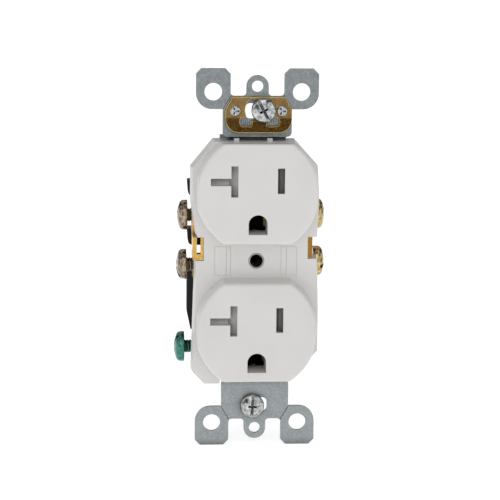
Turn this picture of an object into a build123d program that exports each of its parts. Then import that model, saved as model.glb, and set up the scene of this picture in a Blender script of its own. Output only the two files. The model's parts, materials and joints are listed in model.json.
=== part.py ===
from build123d import *
import os

# Duplex receptacle, 20 A 125 V (T-slot pattern), side wired, self grounding, with shutters.
# Frame: +Z up along the mounting strap, -Y out of the wall towards the user, +X to the user's right.
# The origin is on the front plane of the strap, midway between its four ear holes.  Millimetres.

# ---------------------------------------------------------------- driving dimensions
# Mounting strap (yoke), 1 mm galvanised steel
STRAP_T = 1.0
STRAP_HALF_W = 9.57
STRAP_FOOT_Z = 34.55          # where the front plane of the strap ends, above the body
STRAP_END_Z = 45.8
OVERALL_HALF_Z = 53.36
EAR_IN_X, EAR_OUT_X = 7.4, 16.96
EAR_FOOT_Z = 42.1
EAR_HOLE_X, EAR_HOLE_Z, EAR_HOLE_R = 12.18, 46.87, 2.42
TAB_HOLE_Z, TAB_HOLE_R, TAB_R = 48.42, 1.55, 3.1
BOX_SCREW_Z = 41.67          # half of the standard 83.3 mm between box screws
BOX_SLOT_L, BOX_SLOT_W, BOX_SLOT_CORNER = 6.9, 4.2, 1.4
SCORE_W, SCORE_D = 0.45, 0.22
SCORE_FROM, SCORE_TO = (7.4, 45.8), (9.57, 42.1)
GROOVE_X, GROOVE_Z, GROOVE_D = (-5.2, 2.7), (37.2, 39.45), 0.35
GROOVES, GROOVE_PITCH, GROOVE_W = 7, 0.58, 0.3
TOOTH_X, TOOTH_Y, TOOTH_Z = -10.3, (1.6, 2.8), (33.75, 35.0)
NECK_HALF_W = 8.2            # where the strap steps back to pass under the cover
STEP_Z = 34.25
RECESS_Y = 3.0               # front plane of the stepped-back part
SPINE_HALF_W = 4.4           # strap between the blade slots
SPINE_END_Z = 27.9
LUG_X = 16.5                 # outer face of the ground terminal lug
LUG_Z = (-31.4, -24.0)
LUG_BACK_Y = 16.5

# Cover (white front shell)
BRIDGE_Y = -1.3              # front plane of the cover between the two faces
FACE_Y = -7.05               # front plane of each outlet face
FACE_CENTRES = {"upper": 19.45, "lower": -19.45}
FACE_R, FACE_HALF_H = 16.75, 13.95
FACE_EDGE, FACE_DRAFT = 0.95, 0.6    # edge radius, and growth of a face down its side
COVER_WALL = 1.5
FACE_WALL = 1.6
COVER_HALF_W, COVER_DRAFT = 17.2, 0.45
LEFT_SHOULDER, RIGHT_SHOULDER = (-11.9, -17.9, 25.85), (10.45, 16.9, 26.05)   # top x, side x, side z
COVER_TOP_Z, COVER_FOOT_Z = 33.2, -34.4
SKIRT_Y = 5.4                # rear edge of the cover's side walls
NOTCH_Z, NOTCH_X = {-1: (0.0, 6.6), 1: (0.5, 6.7)}, {-1: 14.65, 1: 14.35}
LEFT_WAIST_X, LEFT_LOW_X, LEFT_FOOT_X = -16.45, -16.75, -17.65
RIGHT_WAIST_X, RIGHT_LOW_X, RIGHT_FOOT_Z = 16.9, 17.45, -25.8
FOOT_X, FOOT_DROP = 9.9, 0.75  # half width of the flat foot, and how much lower its left end is
FOOT_CUT_X, FOOT_CUT_Z = (-10.0, -9.1), -34.05
RIB_X, RIB_W = (-6.4, 2.8), 1.4
SLEEVE_WALL, SLEEVE_BACK_Y = 0.8, 1.6
BRIDGE_MARK_X, BRIDGE_MARK_Z, BRIDGE_MARK_RIB_X = {-1: (7.1, 11.75), 1: (6.75, 11.4)}, 4.2, 8.35
BRIDGE_LINE_W, BRIDGE_LINE_D = 0.26, 0.14

# Blade and pin openings, measured from a face centre
SLOT_DZ = 3.4                # middle of the blade slots above the face centre
BLADE_X = 6.35               # half of the standard 12.7 mm between blades
NEUTRAL_X = -6.5
HOT_X, HOT_RISE = 6.28, 0.2     # the hot slot sits a little higher than the T slot
NEUTRAL_SLOT_W, HOT_SLOT_W = 1.95, 1.98
NEUTRAL_SLOT_H, HOT_SLOT_H = 8.6, 7.05
ARM_END_X, ARM_H, ARM_DROP = -13.05, 2.05, 0.12
PIN_DZ, PIN_R, PIN_FLAT = -8.4, 2.62, 2.9

# Rear body
BODY_HALF_W, BODY_CHAMFER = 16.2, ((8.2, 33.1), (16.2, 22.9))
WAIST_HALF_W, WAIST_Z = 14.4, (-9.5, 17.0)
BODY_BACK_Y, BODY_WALL, BACK_WALL = 24.0, 1.4, 1.8
FIN_OUT_X, FIN_Y = {-1: -18.8, 1: 16.4}, (16.6, 21.6)
FIN_Z = ((15.75, 20.35), (1.5, 6.45), (-23.3, -6.2))
FIN_FOOT_R, FIN_TOP_C, FIN_LEAN = 1.3, 0.35, 0.4
FIN_TAPER = (1.1, 5.2)       # slope at the lower end of the longest fin
FOOT_TAB_X, FOOT_TAB_Y, FOOT_TAB_Z = (-10.1, -8.95), (5.5, 8.0), (-35.3, -30.0)
BOSS_X, BOSS_Z, BOSS_R = 8.6, 29.2, 1.7

# Terminals
TERMINAL_Y = 12.0
TERMINAL_Z = {-1: {"upper": 11.0, "lower": -3.2}, 1: {"upper": 11.4, "lower": -2.35}}
GROUND_TERMINAL_Z = -27.3
PLATE_X = {-1: (16.6, 17.7), 1: (14.5, 15.7)}   # inner and outer face of the terminal plates
NEUTRAL_LOW_X = 17.1         # outer face of the neutral plate below its window
BREAK_OFF_Y, BREAK_OFF_T = -0.9, 0.9           # the front web of the neutral break-off tab
BREAK_OFF_LEG_X, BREAK_OFF_SILL_Z = (14.75, 15.55), 1.8
PLATE_Y, PLATE_Z = (6.3, 16.3), (-7.9, 15.7)
BUS_Y = (15.0, 15.8)
LEAF_GAP, LEAF_T, LEAF_Y, LEAF_HALF_H = 0.55, 0.65, 6.4, 3.2   # spring leaves beside a blade
LIP_FLARE, LIP_Y = 0.6, 5.0
PIN_LEAF_X = (2.35, 3.0)
GROUND_RIVET_R, GROUND_RIVET_HEAD_R = 0.95, 1.4
SCREW_HOLE_R = 1.94
SCREW_R, SCREW_L = 1.9, 5.5
SCREW_HEAD_R, SCREW_HEAD_H = 4.3, {-1: 2.9, 1: 3.35}
HEAD_GAP = {-1: {"upper": 1.2, "lower": 2.05}, 1: {"upper": 1.25, "lower": 1.35}}   # under a head
GROUND_HEAD_GAP = 3.2

# Self-grounding clip, brass, riveted to the upper end of the strap
CLIP_T, CLIP_LIFT = 0.5, 0.7
CLIP_X, CLIP_HALF_W, CLIP_CORNER = 0.36, 9.2, (1.9, 3.5)
CLIP_TOP_Z, CLIP_BEND_Z, CLIP_FOOT_Z = 45.5, 39.7, 35.7
CLIP_FOOT_R = 3.7
CLIP_WINDOW_X, CLIP_WINDOW_R, CLIP_WINDOW_MID_Z, CLIP_WINDOW_Z = 0.7, 4.1, 41.9, (38.0, 44.9)
CLIP_LOBE_X, CLIP_LOBE_Z = (-4.9, 6.1), (37.45, 39.9)
CLIP_TONGUE_X, CLIP_TONGUE_Z = (-1.6, 2.6), (37.0, 39.0)
CLIP_RIVET_X, CLIP_RIVET_R, CLIP_RIVET_HEAD_R = (-6.1, 6.75), 0.9, 1.55

# Box screws, their retainers, the centre eyelet and the assembly screws
BOX_SCREW_R, BOX_SCREW_L, BOX_HEAD_R, BOX_HEAD_H = 1.75, 19.0, 3.4, 2.1
BOX_NECK_R, BOX_NECK_Y = 1.45, 2.6     # the thread stops short of the head, behind the retainer
BOX_SCREW_X = {"upper": 1.6, "lower": -0.71}
BOX_SCREW_AT_Z = {"upper": 41.85, "lower": -41.85}
BOX_DRIVE_ANGLE = {"upper": 28, "lower": 86}
RETAINER_R, RETAINER_T, RETAINER_GAP = 3.2, 0.7, 0.05
EYELET_R, EYELET_BORE_R = 2.2, 1.45
ASSEMBLY_R, ASSEMBLY_HEAD_R, ASSEMBLY_HEAD_H = 1.0, 2.4, 1.4

# Shutters
SHUTTER_Y = (-5.2, -3.3)
SHUTTER_X, SHUTTER_HALF_H = (-7.85, 8.0), (4.5, 3.9)   # half heights at the left end and elsewhere
HOT_PAD_X, HOT_PAD_HALF_H = (5.1, 7.5), 3.1
HOT_PAD_SINK = 0.9           # the pad behind the hot slot lies deeper
CARRIER_Y = (-3.2, -2.2)
CARRIER_DZ = (-2.3, 9.2)
CARRIER_WALL = 0.8

BASE_ALIGN = (Align.CENTER, Align.CENTER, Align.MIN)


# ---------------------------------------------------------------- helpers
def block(x0, x1, y0, y1, z0, z1):
    centre = Pos((x0 + x1) / 2, (y0 + y1) / 2, (z0 + z1) / 2)
    return centre * Box(abs(x1 - x0), abs(y1 - y0), abs(z1 - z0))


def rod_y(x, z, radius, y0, y1):
    start = Plane((x, y0, z), x_dir=(1, 0, 0), z_dir=(0, 1, 0))
    return start * Cylinder(radius, y1 - y0, align=BASE_ALIGN)


def rod_x(y, z, radius, x0, x1):
    start = Plane((min(x0, x1), y, z), x_dir=(0, 1, 0), z_dir=(1, 0, 0))
    return start * Cylinder(radius, abs(x1 - x0), align=BASE_ALIGN)


def polygon(points):
    return make_face(Polyline(*points, close=True))


def rect(x0, x1, z0, z1):
    return Pos((x0 + x1) / 2, (z0 + z1) / 2) * Rectangle(abs(x1 - x0), abs(z1 - z0))


def slab(profile, y0, y1):
    """Extrude a front-view profile, drawn in X and Z, from y0 back to y1."""
    return extrude(Plane.XZ.offset(-y1) * profile, amount=y1 - y0)


def at_corners(sketch, corners, operation, size):
    """Fillet or chamfer only the vertices of a flat profile that lie at the given corners."""
    picked = []
    for vertex in sketch.vertices():
        if any(abs(vertex.X - x) < 0.02 and abs(vertex.Y - z) < 0.02 for x, z in corners):
            picked.append(vertex)
    return operation(picked, size)


def upside_down(shape):
    return mirror(shape, about=Plane.XY)


def left_right(shape):
    return mirror(shape, about=Plane.YZ)


# ---------------------------------------------------------------- openings of one outlet face
def slot_profiles(centre_z, margin=0.0):
    """The neutral T slot and the hot slot, grown by a margin."""
    mid = centre_z + SLOT_DZ
    half_w, hot_half_w = NEUTRAL_SLOT_W / 2 + margin, HOT_SLOT_W / 2 + margin
    upright = rect(NEUTRAL_X - half_w, NEUTRAL_X + half_w,
                   mid - NEUTRAL_SLOT_H / 2 - margin, mid + NEUTRAL_SLOT_H / 2 + margin)
    arm_mid = mid - ARM_DROP
    arm = rect(ARM_END_X - margin, NEUTRAL_X,
               arm_mid - ARM_H / 2 - margin, arm_mid + ARM_H / 2 + margin)
    hot_mid = mid + HOT_RISE
    hot = rect(HOT_X - hot_half_w, HOT_X + hot_half_w,
               hot_mid - HOT_SLOT_H / 2 - margin, hot_mid + HOT_SLOT_H / 2 + margin)
    return upright + arm + hot


def pin_profile(centre_z, margin=0.0):
    """The ground pin opening: round above, flat below."""
    pin_z = centre_z + PIN_DZ
    radius = PIN_R + margin
    return Pos(0, pin_z) * Circle(radius) + rect(-radius, radius, pin_z - PIN_FLAT - margin, pin_z)


def face_profile(centre_z, inset=0.0):
    """A circle cut flat above and below."""
    disc = Pos(0, centre_z) * Circle(FACE_R - inset)
    flat = FACE_HALF_H - inset
    return disc & rect(-FACE_R, FACE_R, centre_z - flat, centre_z + flat)


# ---------------------------------------------------------------- cover
def cover_profile(inset=0.0):
    """Front outline of the cover: a long octagon whose lower left corner is fuller."""
    top, foot = COVER_TOP_Z - inset, COVER_FOOT_Z + inset
    cut = inset * 0.41
    left_top, left_side, left_z = LEFT_SHOULDER
    right_top, right_side, right_z = RIGHT_SHOULDER
    right, waist, low = COVER_HALF_W - inset, RIGHT_WAIST_X - inset, RIGHT_LOW_X - inset
    left_waist, left_low, left_foot = LEFT_WAIST_X + inset, LEFT_LOW_X + inset, LEFT_FOOT_X + inset
    return polygon([
        (left_top + cut, top), (right_top - cut, top), (right_side - inset, right_z - cut), (right, 20.0),
        (right, 12.5), (waist, NOTCH_Z[1][1]), (waist, NOTCH_Z[1][0]), (right, -5.0), (low, -14.0),
        (low, RIGHT_FOOT_Z + cut), (FOOT_X - cut, foot), (-FOOT_X + cut, foot),
        (-FOOT_X + cut, foot - FOOT_DROP),
        (-14.45 + cut, foot - FOOT_DROP), (left_foot, -31.75 + cut), (left_low, -3.5),
        (left_waist - 0.3, NOTCH_Z[-1][0]), (left_waist, NOTCH_Z[-1][1]), (left_side + inset, 16.5),
        (left_side + inset, left_z - cut)])


def drafted(front_profile, front_y, back_profile, back_y):
    """A moulded wall that widens from its front outline to its back outline."""
    front, back = Plane.XZ.offset(-front_y), Plane.XZ.offset(-back_y)
    return loft([front * front_profile, back * back_profile], ruled=True)


def make_cover():
    shell = drafted(cover_profile(), BRIDGE_Y, cover_profile(-COVER_DRAFT), SKIRT_Y)
    inner = COVER_WALL - COVER_DRAFT / 2
    shell -= slab(cover_profile(inner), BRIDGE_Y + COVER_WALL, SKIRT_Y + 1)
    envelope = slab(cover_profile(0.05), FACE_Y - 1, BRIDGE_Y + COVER_WALL)
    for centre_z in FACE_CENTRES.values():
        foot_y = BRIDGE_Y + 0.4
        raised = drafted(face_profile(centre_z), FACE_Y, face_profile(centre_z, -FACE_DRAFT), foot_y)
        front = raised.faces().sort_by(Axis.Y)[0]
        raised = fillet(front.edges(), FACE_EDGE)
        shell += raised & envelope
    for centre_z in FACE_CENTRES.values():
        inset = COVER_WALL + 0.4
        shell -= slab(face_profile(centre_z, inset), FACE_Y + FACE_WALL, SKIRT_Y + 1)
        shell += slab(pin_profile(centre_z, SLEEVE_WALL), FACE_Y + FACE_WALL - 0.1, SLEEVE_BACK_Y)
        shell -= slab(slot_profiles(centre_z) + pin_profile(centre_z), FACE_Y - 1, SKIRT_Y)
    # windows for the break-off tabs
    for side in (-1, 1):
        shell -= block(side * NOTCH_X[side], side * (COVER_HALF_W + 2), BRIDGE_Y - 1, SKIRT_Y + 1,
                       *NOTCH_Z[side])
    # the strap leaves at the top and the bottom, the ground lug on the left
    for side in (-1, 1):
        shell -= block(-NECK_HALF_W - 0.2, NECK_HALF_W + 0.2, RECESS_Y - 0.4, SKIRT_Y + 1,
                       side * 31, side * 36)
    shell -= block(-STRAP_HALF_W - 0.1, STRAP_HALF_W + 0.1, -0.1, SKIRT_Y + 1,
                   COVER_FOOT_Z - 2, -STEP_Z + 0.1)
    shell -= block(-LUG_X - 0.15, -COVER_HALF_W + COVER_WALL + 3, RECESS_Y - 0.1, SKIRT_Y + 1,
                   LUG_Z[0] - 0.2, LUG_Z[1] + 0.2)
    # a small cut at the foot, beside the strap
    shell -= block(*FOOT_CUT_X, BRIDGE_Y - 1, SKIRT_Y + 1, COVER_FOOT_Z - 2, FOOT_CUT_Z)
    # two small ribs bear against the step of the strap
    for x0 in RIB_X:
        shell += block(x0, x0 + RIB_W, BRIDGE_Y + 0.5, 2.5, COVER_TOP_Z - 0.5, STEP_Z - 0.08)
    # two shallow framed panels beside the centre hole
    for side in (-1, 1):
        x0, x1 = BRIDGE_MARK_X[side]
        frame = rect(side * x0, side * x1, -BRIDGE_MARK_Z, BRIDGE_MARK_Z)
        line = BRIDGE_LINE_W
        frame -= rect(side * (x0 + line), side * (x1 - line), line - BRIDGE_MARK_Z, BRIDGE_MARK_Z - line)
        rib_x = side * BRIDGE_MARK_RIB_X
        frame += rect(rib_x - line / 2, rib_x + line / 2, -BRIDGE_MARK_Z, BRIDGE_MARK_Z)
        shell -= slab(frame, BRIDGE_Y - 0.5, BRIDGE_Y + BRIDGE_LINE_D)
    # room for the head of the lowest ground rivet
    shell -= rod_y(0, min(rivet_heights(FACE_CENTRES["lower"])), GROUND_RIVET_HEAD_R + 0.2, 2.2, 4)
    # bosses for the assembly screws, and the seat of the centre eyelet
    for side in (-1, 1):
        for end in (-1, 1):
            shell += rod_y(side * BOSS_X, end * BOSS_Z, BOSS_R, FACE_Y + FACE_WALL, SKIRT_Y + 0.5)
            shell -= rod_y(side * BOSS_X, end * BOSS_Z, ASSEMBLY_R, -3.0, SKIRT_Y + 1)
    shell += rod_y(0, 0, 3.8, BRIDGE_Y + 0.2, RECESS_Y - 0.02)
    shell -= rod_y(0, 0, EYELET_R + 0.02, BRIDGE_Y - 1, RECESS_Y + 1)
    return shell


# ---------------------------------------------------------------- yoke
def yoke_end_profile():
    """Front view of the upper end of the strap: two round-eared wings and a small centre tab."""
    strap = rect(-STRAP_HALF_W, STRAP_HALF_W, STRAP_FOOT_Z, STRAP_END_Z)
    strap = at_corners(strap, [(-STRAP_HALF_W, STRAP_FOOT_Z), (STRAP_HALF_W, STRAP_FOOT_Z)], fillet, 1.2)
    for side in (-1, 1):
        ear = rect(side * EAR_IN_X, side * EAR_OUT_X, EAR_FOOT_Z, OVERALL_HALF_Z)
        ear = at_corners(ear, [(side * EAR_OUT_X, EAR_FOOT_Z)], fillet, 4.4)
        ear = at_corners(ear, [(side * EAR_IN_X, OVERALL_HALF_Z), (side * EAR_OUT_X, OVERALL_HALF_Z)],
                         chamfer, 1.5)
        strap += ear
    strap += rect(-TAB_R, TAB_R, STRAP_END_Z, TAB_HOLE_Z) + Pos(0, TAB_HOLE_Z) * Circle(TAB_R)
    roots = [(side * x, STRAP_END_Z) for side in (-1, 1) for x in (TAB_R, EAR_IN_X)]
    strap = at_corners(strap, roots, fillet, 1.0)
    for side in (-1, 1):
        strap -= Pos(side * EAR_HOLE_X, EAR_HOLE_Z) * Circle(EAR_HOLE_R)
    strap -= Pos(0, TAB_HOLE_Z) * Circle(TAB_HOLE_R)
    strap -= Pos(0, BOX_SCREW_Z) * RectangleRounded(BOX_SLOT_L, BOX_SLOT_W, BOX_SLOT_CORNER)
    return strap


def score_line(side):
    """A narrow groove along which a plaster ear is bent off."""
    (x0, z0), (x1, z1) = SCORE_FROM, SCORE_TO
    dx, dz = x1 - x0, z1 - z0
    length = (dx * dx + dz * dz) ** 0.5
    nx, nz = dz / length * SCORE_W / 2, -dx / length * SCORE_W / 2
    x0, z0, x1, z1 = x0 - dx, z0 - dz, x1 + dx, z1 + dz
    corners = [(x0 + nx, z0 + nz), (x1 + nx, z1 + nz), (x1 - nx, z1 - nz), (x0 - nx, z0 - nz)]
    return polygon([(side * x, z) for x, z in corners])


def neck():
    """The double bend that carries the strap from its front plane back under the cover."""
    t, deep = STRAP_T, RECESS_Y + STRAP_T
    outline = polygon([(0, STEP_Z + 1.6), (0, STEP_Z), (RECESS_Y, STEP_Z), (RECESS_Y, 31.6),
                       (deep, 31.6), (deep, STEP_Z + t), (t, STEP_Z + t), (t, STEP_Z + 1.6)])
    outline = at_corners(outline, [(0, STEP_Z), (deep, STEP_Z + t)], fillet, 1.25)
    outline = at_corners(outline, [(RECESS_Y, STEP_Z), (t, STEP_Z + t)], fillet, 0.35)
    section = Plane.YZ.offset(-NECK_HALF_W) * outline
    return extrude(section, amount=2 * NECK_HALF_W)


def make_yoke():
    end = slab(yoke_end_profile(), 0, STRAP_T)
    for side in (-1, 1):
        end -= slab(score_line(side), -0.5, SCORE_D)
        end -= slab(score_line(side), STRAP_T - SCORE_D, STRAP_T + 0.5)
    end += neck()
    back = RECESS_Y + STRAP_T
    spine = polygon([(-NECK_HALF_W, 31.7), (NECK_HALF_W, 31.7), (SPINE_HALF_W, SPINE_END_Z),
                     (SPINE_HALF_W, 0), (-SPINE_HALF_W, 0), (-SPINE_HALF_W, SPINE_END_Z)])
    end += slab(spine, RECESS_Y, back)
    yoke = end + upside_down(end)
    # the ground terminal lug: an arm to the left, bent back along the side of the body
    lug_z0, lug_z1 = LUG_Z
    yoke += block(-LUG_X + 0.4, -SPINE_HALF_W + 0.5, RECESS_Y, back, lug_z0, lug_z1)
    lug = block(-LUG_X, -LUG_X + STRAP_T, RECESS_Y, LUG_BACK_Y, lug_z0, lug_z1)
    bend = lug.edges().filter_by(Axis.Z).sort_by(Axis.Y)[:2].sort_by(Axis.X)[0]
    yoke += fillet(bend, 0.9)
    yoke -= rod_x(TERMINAL_Y, GROUND_TERMINAL_Z, SCREW_HOLE_R, -LUG_X - 1, -LUG_X + 2)
    yoke -= rod_y(-BOSS_X, -BOSS_Z, BOSS_R + 0.2, RECESS_Y - 1, back + 1)
    # fine grooves that help the clip bite on the bared box screw
    for x0 in GROOVE_X:
        for i in range(GROOVES):
            x = x0 + i * GROOVE_PITCH
            yoke -= block(x, x + GROOVE_W, -0.1, GROOVE_D, *GROOVE_Z)
    # a staking tooth beside the upper neck bites into the cover
    yoke += block(TOOTH_X, -NECK_HALF_W + 0.5, *TOOTH_Y, *TOOTH_Z)
    # centre hole, ground pin windows and rivet holes
    yoke -= rod_y(0, 0, EYELET_R + 0.02, RECESS_Y - 1, back + 1)
    for centre_z in FACE_CENTRES.values():
        yoke -= slab(pin_profile(centre_z, 0.45), RECESS_Y - 1, back + 1)
        for rivet_z in rivet_heights(centre_z):
            yoke -= rod_y(0, rivet_z, GROUND_RIVET_R, RECESS_Y - 1, back + 1)
    for x in CLIP_RIVET_X:
        yoke -= rod_y(x, BOX_SCREW_Z, CLIP_RIVET_R, -1, STRAP_T + 1)
    return yoke


# ---------------------------------------------------------------- self-grounding clip
def clip_outline():
    left, right = CLIP_X - CLIP_HALF_W, CLIP_X + CLIP_HALF_W
    outline = rect(left, right, CLIP_FOOT_Z, CLIP_TOP_Z)
    outline = at_corners(outline, [(left, CLIP_FOOT_Z), (right, CLIP_FOOT_Z)], fillet, CLIP_FOOT_R)
    cut_x, cut_z = CLIP_CORNER
    for corner, inward in ((left, 1), (right, -1)):
        outline -= polygon([(corner + inward * cut_x, CLIP_TOP_Z), (corner, CLIP_TOP_Z),
                            (corner, CLIP_TOP_Z - cut_z)])
    # the aperture round the screw, with a tongue left standing from its lower edge
    window = Pos(CLIP_WINDOW_X, CLIP_WINDOW_MID_Z) * Circle(CLIP_WINDOW_R)
    window &= rect(left, right, *CLIP_WINDOW_Z)
    ends = [(x, z) for x in CLIP_LOBE_X for z in CLIP_LOBE_Z]
    window += at_corners(rect(*CLIP_LOBE_X, *CLIP_LOBE_Z), ends, fillet, 1.0)
    return outline - (window - rect(*CLIP_TONGUE_X, *CLIP_TONGUE_Z))


def make_clip():
    outline = clip_outline()
    flat = slab(outline & rect(-20, 20, CLIP_BEND_Z, 60), -CLIP_T, 0)
    # the lower half is drawn flat, then cut from a plate that leans forward off the strap
    drop = CLIP_BEND_Z - CLIP_FOOT_Z
    lean = extrude(Plane.YZ.offset(-20) * polygon([
        (0, CLIP_BEND_Z), (-CLIP_T, CLIP_BEND_Z), (-CLIP_T - CLIP_LIFT, CLIP_BEND_Z - drop),
        (-CLIP_LIFT, CLIP_BEND_Z - drop)]), amount=40)
    lower = slab(outline & rect(-20, 20, 30, CLIP_BEND_Z), -3, 0) & lean
    clip = flat + lower
    for x in CLIP_RIVET_X:
        clip -= rod_y(x, BOX_SCREW_Z, CLIP_RIVET_R, -2, 1)
    return clip


def rivet(x, z, radius, head_r, front_y, back_y, head_h):
    """A solid rivet: a domed head at the front, a flat one at the back."""
    shank = rod_y(x, z, radius, front_y, back_y)
    front = rod_y(x, z, head_r, front_y - head_h, front_y)
    front = fillet(front.edges().sort_by(Axis.Y)[0], head_h * 0.7)
    back = rod_y(x, z, head_r, back_y, back_y + head_h)
    return shank + front + back


def make_clip_rivets():
    rivets = []
    for x in CLIP_RIVET_X:
        rivets.append(rivet(x, BOX_SCREW_Z, CLIP_RIVET_R, CLIP_RIVET_HEAD_R, -CLIP_T, STRAP_T, 0.5))
    return Compound(children=rivets)


# ---------------------------------------------------------------- screws
def screw(head_r, head_h, shank_r, length, dome, slot_w, cross_w):
    """A combination-drive pan head screw, head upwards, underside of the head at Z = 0."""
    head = Cylinder(head_r, head_h, align=BASE_ALIGN)
    head = fillet(head.edges().sort_by(Axis.Z)[-1], dome)
    deep = head_h * 0.45
    head -= Pos(0, 0, head_h - deep / 2) * Box(2 * head_r * 0.9, slot_w, deep + 0.001)
    cross = Pos(0, 0, head_h - head_h * 0.36) * Box(head_r * 1.05, cross_w, head_h * 0.73)
    cross += Rot(0, 0, 90) * cross
    head -= cross
    shank = Pos(0, 0, -length) * Cylinder(shank_r, length, align=BASE_ALIGN)
    shank = chamfer(shank.edges().sort_by(Axis.Z)[0], 0.5)
    return head + shank


def make_terminal_screw(side, y, z, outer_x, gap):
    """A terminal screw in the left (-1) or right (+1) plate, backed out by a gap."""
    body = screw(SCREW_HEAD_R, SCREW_HEAD_H[side], SCREW_R, SCREW_L, 1.3, 1.15, 1.2)
    seat = Plane((side * (outer_x + gap), y, z), x_dir=(0, 0, 1), z_dir=(side, 0, 0))
    return seat * body


def plate_face(side, end):
    """The outer face of a terminal plate at one of its screws."""
    return NEUTRAL_LOW_X if (side, end) == (-1, "lower") else PLATE_X[side][1]


def make_box_screw(end):
    """Long screw whose thread stops behind the retainer, so that the strap keeps hold of it."""
    x, z = BOX_SCREW_X[end], BOX_SCREW_AT_Z[end]
    seat_y = -CLIP_T - 0.3 if end == "upper" else -0.05
    body = Rot(0, 0, BOX_DRIVE_ANGLE[end]) * screw(
        BOX_HEAD_R, BOX_HEAD_H, BOX_SCREW_R, BOX_SCREW_L, 1.2, 0.95, 1.0)
    seat = Plane((x, seat_y, z), x_dir=(1, 0, 0), z_dir=(0, -1, 0))
    waist = rod_y(x, z, BOX_SCREW_R + 1, seat_y, BOX_NECK_Y)
    waist -= rod_y(x, z, BOX_NECK_R, seat_y - 1, BOX_NECK_Y + 1)
    return seat * body - waist


def make_retainer(end):
    x, z = BOX_SCREW_X[end], BOX_SCREW_AT_Z[end]
    front = STRAP_T + RETAINER_GAP
    washer = rod_y(x, z, RETAINER_R, front, front + RETAINER_T)
    return washer - rod_y(x, z, BOX_NECK_R + 0.04, 0, front + 2)


def make_eyelet():
    """Threaded hollow rivet: holds cover and strap together and takes the wall plate screw."""
    front, back = BRIDGE_Y - 0.05, 9.0
    flange_y = RECESS_Y + STRAP_T
    tube = rod_y(0, 0, EYELET_R, front, back)
    tube = chamfer(tube.edges().sort_by(Axis.Y)[0], 0.25)
    tube += rod_y(0, 0, 3.2, flange_y, flange_y + 0.8)
    return tube - rod_y(0, 0, EYELET_BORE_R, front - 1, back + 1)


def make_assembly_screws():
    screws = []
    for side in (-1, 1):
        for end in (-1, 1):
            body = screw(ASSEMBLY_HEAD_R, ASSEMBLY_HEAD_H, ASSEMBLY_R, 22.0, 0.7, 0.7, 0.75)
            seat = Plane((side * BOSS_X, BODY_BACK_Y - 1.8, end * BOSS_Z), x_dir=(1, 0, 0),
                         z_dir=(0, 1, 0))
            screws.append(seat * body)
    return Compound(children=screws)


# ---------------------------------------------------------------- brass contacts
def contact_side(side):
    """One full side: terminal plate, two buses and four or eight contact leaves."""
    x_in, x_out = PLATE_X[side]
    strip = block(side * x_in, side * x_out, *PLATE_Y, *PLATE_Z)
    if side < 0:
        strip -= block(-x_out - 1, -NEUTRAL_LOW_X, PLATE_Y[0] - 1, PLATE_Y[1] + 1,
                       PLATE_Z[0] - 1, NOTCH_Z[-1][0])
    # the break-off section between the two terminals
    strip -= block(side * (x_in - 1), side * (x_out + 1), 9.2, PLATE_Y[1] + 1, *NOTCH_Z[side])
    tab_z = (NOTCH_Z[side][0] + 0.15, NOTCH_Z[side][1] - 0.15)
    if side < 0:
        # the plate reaches forward into the window, and a web with an opening joins its front
        leg_in, leg_out = BREAK_OFF_LEG_X
        back_y = BREAK_OFF_Y + BREAK_OFF_T
        strip += block(-x_out, -x_in, BREAK_OFF_Y, PLATE_Y[0] + 1, *tab_z)
        strip += block(-x_out, -leg_in, BREAK_OFF_Y, back_y, *tab_z)
        strip -= block(-x_in, -leg_out, BREAK_OFF_Y - 1, back_y + 1, BREAK_OFF_SILL_Z, tab_z[1] + 1)
    else:
        strip += block(x_in, x_out, BREAK_OFF_Y, PLATE_Y[0] + 1, *tab_z)
    for end, centre_z in FACE_CENTRES.items():
        mid = centre_z + SLOT_DZ
        if end == "upper":
            entry, reach = (7.0, 14.9), (7.0, 25.6)
        else:
            entry, reach = (-7.4, -0.6), (-19.5, -0.6)
        strip += block(side * 9.5, side * (x_out - 0.4), *BUS_Y, *entry)
        strip += block(side * 4.9, side * 12.0, *BUS_Y, *reach)
        for gap_side in (-1, 1):
            near, far = BLADE_X + gap_side * LEAF_GAP, BLADE_X + gap_side * (LEAF_GAP + LEAF_T)
            strip += block(side * near, side * far, LEAF_Y, BUS_Y[0] + 0.2,
                           mid - LEAF_HALF_H, mid + LEAF_HALF_H)
            lip = polygon([(near, LEAF_Y + 0.05), (far, LEAF_Y + 0.05),
                           (far + gap_side * LIP_FLARE, LIP_Y), (near + gap_side * LIP_FLARE, LIP_Y)])
            flare = extrude(Plane.XY.offset(mid - LEAF_HALF_H) * lip, amount=2 * LEAF_HALF_H)
            strip += flare if side > 0 else left_right(flare)
            if side < 0:
                z0, z1 = mid + gap_side * LEAF_GAP, mid + gap_side * (LEAF_GAP + LEAF_T)
                strip += block(-12.3, -8.4, 6.0, BUS_Y[0] + 0.2, z0, z1)
    for terminal_z in TERMINAL_Z[side].values():
        strip -= rod_x(TERMINAL_Y, terminal_z, SCREW_HOLE_R, side * (x_in - 1), side * (x_out + 1))
    return strip


def rivet_heights(centre_z):
    pin_z = centre_z + PIN_DZ
    return (pin_z - 4.6, pin_z + 4.6)


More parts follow.
